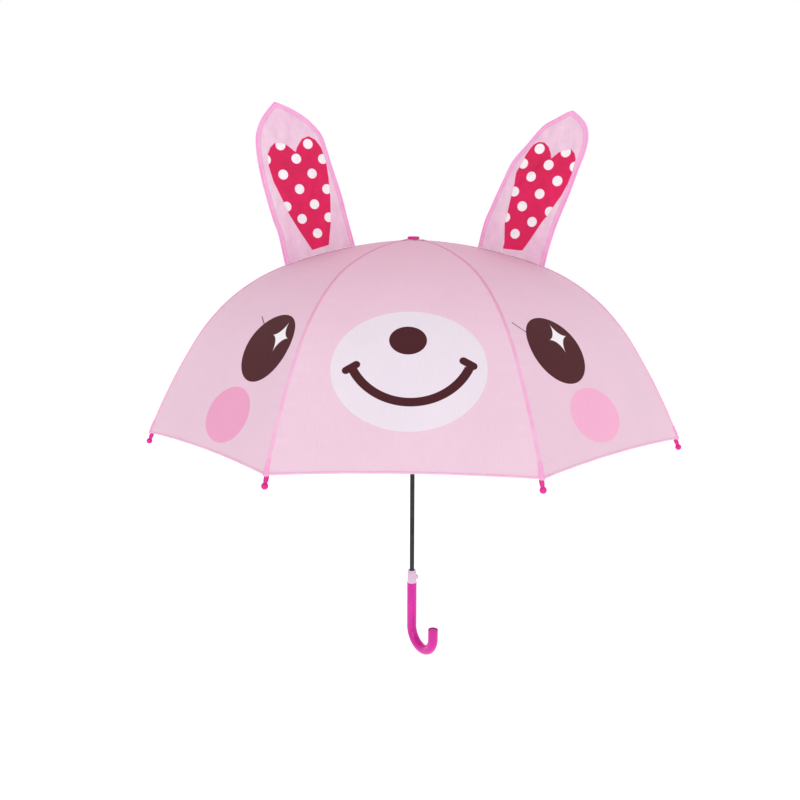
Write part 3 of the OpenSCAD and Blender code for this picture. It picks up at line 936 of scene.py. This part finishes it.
for side in ("right", "left"):
    ear, edge = makeEar(side)
    body = f"rib_body_{ears[side]['rib'] + 1}"
    across = sideways(ears[side]["rib"])
    pipe = makeTube(f"ear_{side}_edging", edge, earCloth["pipeRadius"], earTape, across)
    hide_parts(f"ear_{side}")
    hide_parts(f"ear_{side}_piping")
    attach(ear, body)
    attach(pipe, body)
print("ears sewn")


rosette = {"radius": 0.017, "inner": 0.0036, "thickness": 0.0005, "wave": 0.0005, "around": 120, "rings": 12}


def makeRosette():
    around, rings = rosette["around"], rosette["rings"]
    angles = np.linspace(0, 2 * math.pi, around, endpoint=False)
    radii = np.linspace(rosette["inner"], rosette["radius"], rings)
    points = []
    for n, r in enumerate(radii):
        share = max(0.0, (r - 0.008) / (rosette["radius"] - 0.008))
        for a in angles:
            reach = r + share * 0.0007 * math.sin(9 * a + 1.0)
            z = crownHeight + 0.0010 - max(0.0, r - 0.0074) * math.tan(math.radians(3.5))
            z += share * rosette["wave"] * (0.6 * math.sin(8 * a) + 0.5 * math.sin(5 * a + 0.7) + 0.4)
            points.append((reach * math.cos(a), reach * math.sin(a), z))
    faces = []
    for i in range(rings - 1):
        for j in range(around):
            n = (j + 1) % around
            faces.append((i * around + j, (i + 1) * around + j, (i + 1) * around + n, i * around + n))
    piece = addPiece("crownRosette", points, faces, [plainCloth])
    # the +0.06 shift puts the rosette in the darker, painted-shade end of the cloth's crown blend
    setUv(piece, [(points[v][0], points[v][1] + 0.06) for f in faces for v in f])
    wall = piece.modifiers.new("wall", "SOLIDIFY")
    wall.thickness = rosette["thickness"]
    wall.offset = -1
    applyModifiers(piece)
    smoothByAngle(piece, 40)
    return piece


crownPiece = makeRosette()
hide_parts("canopy_rosette")
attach(crownPiece, "root")

strap = {"width": 0.018, "thickness": 0.0009, "columns": 15, "rows": 40, "bow": 0.0035}


def makeStrap():
    low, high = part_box("tie_strap")
    a = ribAngle(3)
    out = Vector((math.cos(a), math.sin(a), 0))
    along = sideways(3)
    centre = (low + high) / 2
    width, length = strap["width"], high.z - low.z
    middle = out * centre.dot(out) + along * centre.dot(along)
    rows, columns = strap["rows"], strap["columns"]
    points, uv = [], []
    for i in range(rows):
        t = i / (rows - 1)
        for j in range(columns):
            w = j / (columns - 1) - 0.5
            bow = strap["bow"] * math.sin(t * math.pi) * 0.6 + 0.0006 * math.sin(7 * t + 3 * w)
            cup = 0.0009 * (4 * w * w)
            corner = 0.0022 * max(0.0, (t - 0.9) / 0.1) ** 2 * (abs(2 * w) ** 4)
            p = middle + out * (bow - cup * math.sin(t * 3)) + along * (w * width)
            points.append((p.x, p.y, high.z - t * length + corner))
            uv.append((w * width, t * length))
    faces = gridFaces(rows, columns)
    piece = addPiece("tieStrapCloth", points, faces, [plainCloth])
    # the +0.34 shift puts the strap past the cloth's painted crown shade, in the plain pinkLow colour
    setUv(piece, [(uv[v][0], uv[v][1] + 0.34) for f in faces for v in f])
    wall = piece.modifiers.new("wall", "SOLIDIFY")
    wall.thickness = strap["thickness"]
    wall.offset = 0
    applyModifiers(piece)
    smoothByAngle(piece, 40)
    return piece, width, length


strapPiece, strapWidth, strapLength = makeStrap()
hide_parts("tie_strap")
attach(strapPiece, "rib_body_4")
print("rosette and strap sewn")


def plastic(name, colour, deep, roughness, coat=0.0, soft=0.0):
    material, tree, shader = newMaterial(name)
    place = objectPlace(tree)
    clouds = noiseValue(tree, place, 30, 3)
    grain = noiseValue(tree, place, 1080, 2)
    surfaceColour = mixColour(tree, remap(tree, clouds, 0.35, 0.65, 0, 1), deep, colour)
    tree.links.new(surfaceColour, shader.inputs["Base Color"])
    tree.links.new(remap(tree, clouds, 0.3, 0.7, roughness * 0.85, roughness * 1.2), shader.inputs["Roughness"])
    shader.inputs["Coat Weight"].default_value = coat
    shader.inputs["Coat Roughness"].default_value = 0.05
    shader.inputs["Specular IOR Level"].default_value = 0.16
    shader.inputs["Subsurface Weight"].default_value = soft
    shader.inputs["Subsurface Radius"].default_value = (0.006, 0.002, 0.004)
    shader.inputs["Subsurface Scale"].default_value = 1.0
    addBump(tree, shader, grain, 0.00003, 0.35)
    return material


def metal(name, colour, worn, roughness, lengthwise=(600, 600, 8)):
    material, tree, shader = newMaterial(name)
    place = objectPlace(tree)
    brushed = noiseValue(tree, stretched(tree, place, lengthwise), 1.0, 2)
    patches = noiseValue(tree, place, 55, 4, 0.6)
    surface = mixColour(tree, remap(tree, patches, 0.35, 0.7, 0, 1), colour, worn)
    tree.links.new(surface, shader.inputs["Base Color"])
    rough = calc(tree, "MULTIPLY_ADD", brushed, roughness * 0.5, roughness * 0.75)
    tree.links.new(rough, shader.inputs["Roughness"])
    shader.inputs["Metallic"].default_value = 1.0
    addBump(tree, shader, brushed, 0.00003, 0.4)
    return material


finishes = {
    "handle_plastic": plastic("handlePlastic", (0.640, 0.008, 0.335), (0.540, 0.005, 0.270), 0.16, 0.40, 0.0),
    "collar_plastic": plastic("collarPlastic", (0.700, 0.520, 0.660), (0.640, 0.460, 0.610), 0.34, 0.3, 0.25),
    "tip_plastic": plastic("tipPlastic", (0.680, 0.008, 0.270), (0.560, 0.005, 0.200), 0.20, 0.40, 0.0),
    "black_plastic": plastic("blackPlastic", (0.022, 0.021, 0.023), (0.014, 0.014, 0.016), 0.42, 0.1),
    "shaft_steel": metal("shaftSteel", (0.030, 0.029, 0.034), (0.055, 0.054, 0.060), 0.17),
    "frame_steel": metal("frameSteel", (0.420, 0.420, 0.430), (0.520, 0.520, 0.530), 0.34, (300, 300, 300)),
    "rivet_steel": metal("rivetSteel", (0.560, 0.560, 0.570), (0.640, 0.640, 0.650), 0.28, (300, 300, 300)),
    "wire_steel": metal("wireSteel", (0.480, 0.480, 0.490), (0.560, 0.560, 0.570), 0.30, (300, 300, 300)),
}

slotOf = {part["node"]: part.get("material_slot") for part in frame["record"]["subparts"]}
for name, node in frame["nodes"].items():
    finish = finishes.get(slotOf.get(name), plainCloth)
    node.data.materials.clear()
    node.data.materials.append(finish)
print("hard finishes ready")


def finishPiece(piece, name, finish, turn=None):
    # the piece's place goes into its mesh, so the object stays at the origin
    piece.name = name
    piece.data.name = name
    piece.data.transform((turn or Matrix.Identity(4)) @ piece.matrix_world)
    piece.matrix_world = Matrix.Identity(4)
    piece.data.materials.clear()
    piece.data.materials.append(finishes[finish])
    smoothByAngle(piece, 35)
    return piece


def selectFaces(piece, test):
    shape = bmesh.from_edit_mesh(piece.data)
    for face in shape.faces:
        face.select_set(test(face))
    shape.select_flush_mode()
    bmesh.update_edit_mesh(piece.data)


def startPiece():
    bpy.ops.object.mode_set(mode="EDIT")
    bpy.ops.mesh.select_mode(type="FACE")
    bpy.ops.mesh.select_all(action="DESELECT")


cap = {
    "radius": 0.0086,
    "height": 0.0043,
    "edge": 0.0014,
    "dish": 0.0022,
    "lip": 0.0006,
    "sunk": 0.0003,
}


def makeCap():
    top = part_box("top_cap")[1].z
    bpy.ops.object.select_all(action="DESELECT")
    bpy.ops.mesh.primitive_cylinder_add(vertices=64, radius=cap["radius"], depth=cap["height"])
    piece = bpy.context.active_object
    startPiece()
    selectFaces(piece, lambda face: face.normal.z > 0.9)
    bpy.ops.mesh.inset(thickness=cap["dish"], depth=0)
    bpy.ops.mesh.inset(thickness=cap["lip"], depth=-cap["sunk"])
    bpy.ops.object.mode_set(mode="OBJECT")
    rounded = piece.modifiers.new("rounded", "BEVEL")
    rounded.width = cap["edge"]
    rounded.segments = 5
    rounded.limit_method = "ANGLE"
    rounded.angle_limit = math.radians(60)
    applyModifiers(piece)
    return finishPiece(piece, "crownButton", "tip_plastic", Matrix.Translation((0, 0, top - cap["height"] / 2)))


button = makeCap()
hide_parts("top_cap")
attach(button, "root")

tip = {
    "ball": 0.0038,
    "axis": -0.0034,  # the rib's middle, below the cloth
    "fromHem": 0.0005,
    "waist": 0.0022,
    "neck": 0.00275,
    "bore": 0.0025,
    "boreDepth": 0.0058,
}


def makeTip(k):
    feet, heights = lineAt(np.array([hemAt + tip["fromHem"], ribLength]), np.array([tip["axis"], tip["axis"]]))
    length = math.hypot(feet[1] - feet[0], heights[1] - heights[0])
    bpy.ops.object.select_all(action="DESELECT")
    bpy.ops.mesh.primitive_uv_sphere_add(segments=32, ring_count=24, radius=tip["ball"])
    piece = bpy.context.active_object
    startPiece()
    shoulder = math.sqrt(tip["ball"] ** 2 - tip["waist"] ** 2)
    selectFaces(piece, lambda face: face.calc_center_median().z > shoulder)
    bpy.ops.mesh.delete(type="FACE")
    bpy.ops.mesh.select_mode(type="EDGE")
    bpy.ops.mesh.select_all(action="DESELECT")
    shape = bmesh.from_edit_mesh(piece.data)
    for line in shape.edges:
        line.select_set(line.is_boundary)
    bmesh.update_edit_mesh(piece.data)
    rim = max(math.hypot(v.co.x, v.co.y) for v in shape.verts if v.select)
    at = max(v.co.z for v in shape.verts if v.select)
    # up the neck, over its end and down the hollow that the rib sits in
    for radius, height in (
        (tip["waist"], at + 0.0007), (tip["neck"] * 0.93, at + 0.0021), (tip["neck"], at + 0.0032),
        (tip["neck"], length), (tip["bore"], length), (tip["bore"], length - tip["boreDepth"]),
    ):
        bpy.ops.mesh.extrude_edges_move(TRANSFORM_OT_translate={"value": (0, 0, height - at)})
        bpy.ops.transform.resize(value=(radius / rim, radius / rim, 1), center_override=(0, 0, height))
        rim, at = radius, height
    bpy.ops.mesh.edge_face_add()
    bpy.ops.mesh.select_all(action="SELECT")
    bpy.ops.mesh.normals_make_consistent(inside=False)
    bpy.ops.object.mode_set(mode="OBJECT")
    out = Vector((math.cos(ribAngle(k)), math.sin(ribAngle(k)), 0))
    ball = out * float(feet[1]) + Vector((0, 0, float(heights[1])))
    neck = out * float(feet[0] - feet[1]) + Vector((0, 0, float(heights[0] - heights[1])))
    turn = Matrix.Translation(ball) @ neck.to_track_quat("Z", "Y").to_matrix().to_4x4()
    return finishPiece(piece, f"ribTip_{k + 1}", "tip_plastic", turn)


for k in range(ribCount):
    knob = makeTip(k)
    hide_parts(f"tip_{k + 1}")
    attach(knob, f"rib_body_{k + 1}")
print("button and tips shaped")


studio = {
    "floorDrop": 1.05,
    "floorHalf": 40.0,
    "sky": (1.0, 1.0, 1.0),
    "ambient": 0.80,
    "floorGlow": 0.45,
    "floorDark": (0.93, 0.93, 0.93),
    "floorPale": (0.95, 0.95, 0.95),
}

world = bpy.data.worlds.new("studioSky")
bpy.context.scene.world = world
world.use_nodes = True
worldTree = world.node_tree
ambient = worldTree.nodes["Background"]
ambient.inputs[0].default_value = (*studio["sky"], 1)
ambient.inputs[1].default_value = studio["ambient"]
# the backdrop itself is plain white, whatever light it gives
backdrop = worldTree.nodes.new("ShaderNodeBackground")
backdrop.inputs[0].default_value = (1, 1, 1, 1)
backdrop.inputs[1].default_value = 1.0
pick = worldTree.nodes.new("ShaderNodeMixShader")
worldTree.links.new(worldTree.nodes.new("ShaderNodeLightPath").outputs["Is Camera Ray"], pick.inputs[0])
worldTree.links.new(ambient.outputs[0], pick.inputs[1])
worldTree.links.new(backdrop.outputs[0], pick.inputs[2])
worldTree.links.new(pick.outputs[0], worldTree.nodes["World Output"].inputs[0])

floorMaterial, floorTree, floorShader = newMaterial("paleFloor")
speckle = noiseValue(floorTree, objectPlace(floorTree), 3.0, 2)
speckle = remap(floorTree, speckle, 0.3, 0.7, 0, 1)
floorColour = mixColour(floorTree, speckle, studio["floorDark"], studio["floorPale"])
floorTree.links.new(floorColour, floorShader.inputs["Base Color"])
floorShader.inputs["Roughness"].default_value = 0.9
floorShader.inputs["Specular IOR Level"].default_value = 0.1
floorShader.inputs["Emission Color"].default_value = (1, 1, 1, 1)
floorShader.inputs["Emission Strength"].default_value = studio["floorGlow"]
edge = studio["floorHalf"]
floorZ = cadBox[0][2] - studio["floorDrop"]
floor = addPiece(
    "paleFloor", [(-edge, -edge, floorZ), (edge, -edge, floorZ), (edge, edge, floorZ), (-edge, edge, floorZ)],
    [(0, 1, 2, 3)], [floorMaterial],
)


def areaLight(name, place, aim, size, power, colour=(1, 1, 1)):
    data = bpy.data.lights.new(name, "AREA")
    data.shape = "DISK"
    data.size = size
    data.energy = power
    data.color = colour
    lamp = bpy.data.objects.new(name, data)
    bpy.context.scene.collection.objects.link(lamp)
    lamp.location = place
    lamp.rotation_mode = "QUATERNION"
    lamp.rotation_quaternion = (Vector(aim) - Vector(place)).to_track_quat("-Z", "Y")
    return lamp


areaLight("keyLight", (-0.4, -2.7, 0.95), (0, 0, 0.38), 1.6, 14)
areaLight("fillLight", (2.2, -1.5, 0.8), (0, 0, 0.35), 1.6, 8)
areaLight("sideLight", (-2.2, -1.5, 0.8), (0, 0, 0.35), 1.6, 4)
areaLight("topLight", (0.2, 0.6, 2.4), (0, 0, 0.50), 1.4, 4)

camera = {
    "distance": 1.0574,
    "elevation": 0.165,
    "target": (-0.01882, 0.0, 0.32096),
    "turn": 0.04676,
    "roll": 0.0015,
    "lens": 32.129,
}


def makeCamera():
    turn = Matrix.Rotation(camera["turn"], 3, "Z")
    e = camera["elevation"]
    back = turn @ Vector((0, -math.cos(e), math.sin(e)))
    right = turn @ Vector((1, 0, 0))
    up = back.cross(right)
    c, s = math.cos(camera["roll"]), math.sin(camera["roll"])
    x, y = right * c + up * s, up * c - right * s
    place = turn @ Vector(camera["target"]) + back * camera["distance"]
    data = bpy.data.cameras.new("studioCamera")
    data.lens = camera["lens"]
    data.sensor_width = 36
    data.clip_start, data.clip_end = 0.01, 200
    eye = bpy.data.objects.new("studioCamera", data)
    bpy.context.scene.collection.objects.link(eye)
    eye.matrix_world = Matrix((
        (x.x, y.x, back.x, place.x),
        (x.y, y.y, back.y, place.y),
        (x.z, y.z, back.z, place.z),
        (0, 0, 0, 1),
    ))
    bpy.context.scene.camera = eye


makeCamera()
bpy.context.scene.view_settings.view_transform = "Standard"
print("studio ready")
